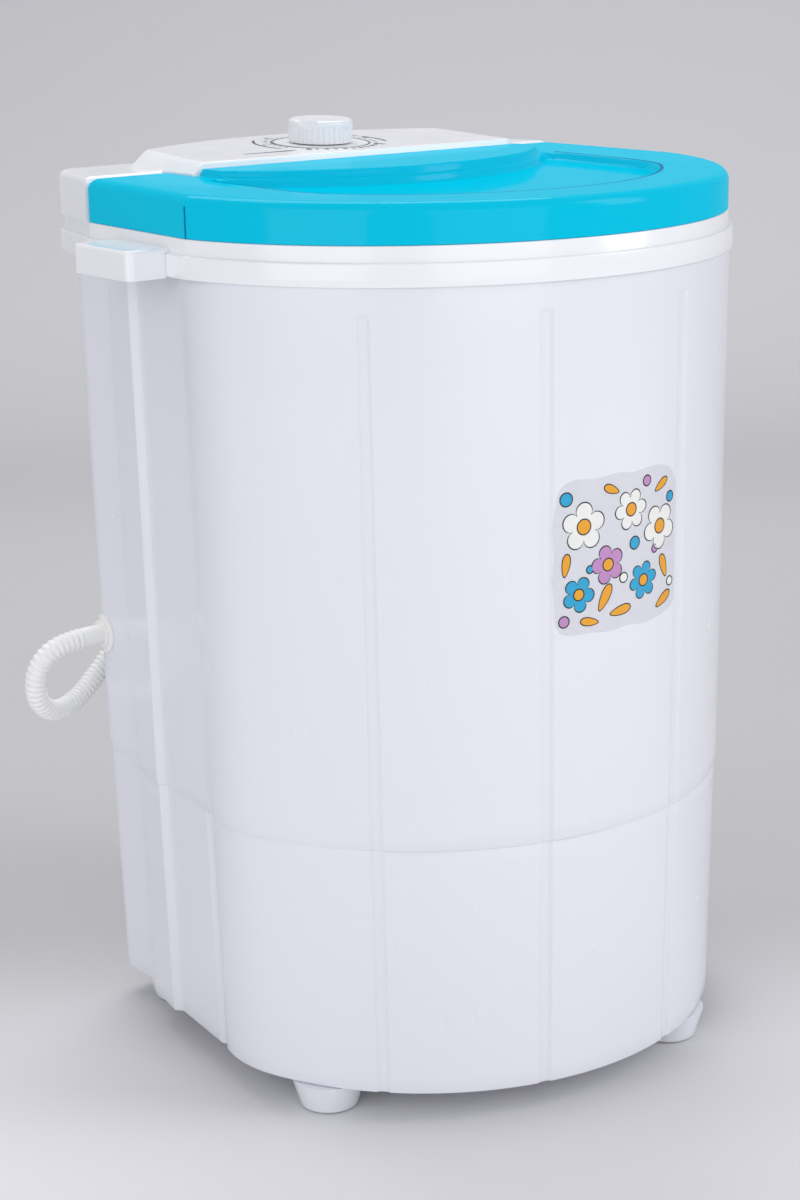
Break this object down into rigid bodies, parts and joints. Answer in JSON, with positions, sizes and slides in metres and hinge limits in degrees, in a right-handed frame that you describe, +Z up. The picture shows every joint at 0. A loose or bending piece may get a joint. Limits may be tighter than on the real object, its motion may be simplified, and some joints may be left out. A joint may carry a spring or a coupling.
{
  "type": "single-tub washing machine",
  "caption": "Compact top-loading washing machine with a round front, flip-up translucent lid, timer knob, side grips, belt-driven pulsator and ribbed drain hose.",
  "frame": {"origin": "on the floor, at the middle of the machine's footprint box without its free hose", "axes": "+Z up, -Y towards the round front, +X to the right of someone facing the front"},
  "size_m": [0.4002, 0.3465, 0.5402],
  "materials": {
    "shell_white": "moulded, glossy",
    "rim_white": "moulded, glossy",
    "knob_white": "moulded, satin gloss",
    "lid_cyan": "translucent, polished",
    "tub_white": "moulded, glossy",
    "hose_white": "ribbed, satin",
    "inner_plastic": "moulded, matt",
    "black_plastic": "moulded, matt",
    "rubber_black": "matt",
    "steel": "zinc plated",
    "plate_steel": "pressed, painted",
    "lamination": "stacked laminations",
    "copper": "lacquered winding",
    "bronze": "sintered bronze",
    "alloy": "die cast"
  },
  "bodies": {
    "cabinet": {"upper_casing": "shell_white", "base_housing": "shell_white", "rear_cover": "shell_white", "bottom_cover": "shell_white", "top_rim": "rim_white", "side_handle_left": "rim_white", "side_handle_right": "rim_white", "control_panel": "rim_white", "timer_body": "black_plastic", "timer_screws": "steel", "panel_screws": "steel", "lid_hinge_pins": "steel", "wash_tub": "tub_white", "tub_flange_screws": "steel", "bearing_housing": "inner_plastic", "bearing_screws": "steel", "bearing_bushes": "bronze", "shaft_seal": "rubber_black", "v_belt": "rubber_black", "stator": "lamination", "stator_windings": "copper", "motor_lower_bell": "alloy", "motor_upper_bell": "alloy", "motor_plate": "plate_steel", "rubber_mounts": "rubber_black", "motor_screws": "steel", "capacitor": "black_plastic", "capacitor_clamp": "steel", "clamp_screw": "steel", "bottom_cover_screws": "steel", "foot_screws": "steel", "base_screws": "steel", "rear_cover_screws": "steel", "cord_gland": "black_plastic", "drain_strainer": "tub_white", "drain_elbow": "inner_plastic", "inner_drain_tube": "rubber_black", "hose_outlet": "hose_white", "drain_hose": "hose_white", "hose_nozzle": "hose_white", "hose_clips": "shell_white", "clip_screws": "steel", "foot_front_left": "shell_white", "foot_front_right": "shell_white", "foot_rear_left": "shell_white", "foot_rear_right": "shell_white"},
    "lid": {"lid": "lid_cyan"},
    "knob": {"timer_knob": "knob_white", "timer_shaft": "steel"},
    "pulsator": {"pulsator": "tub_white", "pulsator_screw": "steel", "pulsator_shaft": "steel", "driven_pulley": "inner_plastic"},
    "rotor": {"motor_shaft": "steel", "rotor": "lamination", "motor_pulley": "alloy"}
  },
  "joints": [
    {"name": "lid_hinge", "type": "hinge", "parent": "cabinet", "child": "lid", "pos_m": [0, 0.099, 0.5105], "axis": [-1, 0, 0], "range_deg": [0, 95]},
    {"name": "knob_turn", "type": "hinge", "parent": "cabinet", "child": "knob", "pos_m": [0, 0.104, 0.525], "axis": [0, 0.0523, -0.9986], "range_deg": [0, 330]},
    {"name": "pulsator_spin", "type": "hinge", "parent": "cabinet", "child": "pulsator", "pos_m": [0, 0.008, 0.12], "axis": [0, 0, 1], "continuous": true},
    {"name": "motor_spin", "type": "hinge", "parent": "cabinet", "child": "rotor", "pos_m": [0.072, 0.076, 0.062], "axis": [0, 0, 1], "continuous": true}
  ],
  "couplings": [
    {"joint": "motor_spin", "follows": "pulsator_spin", "ratio": 3.9524}
  ]
}
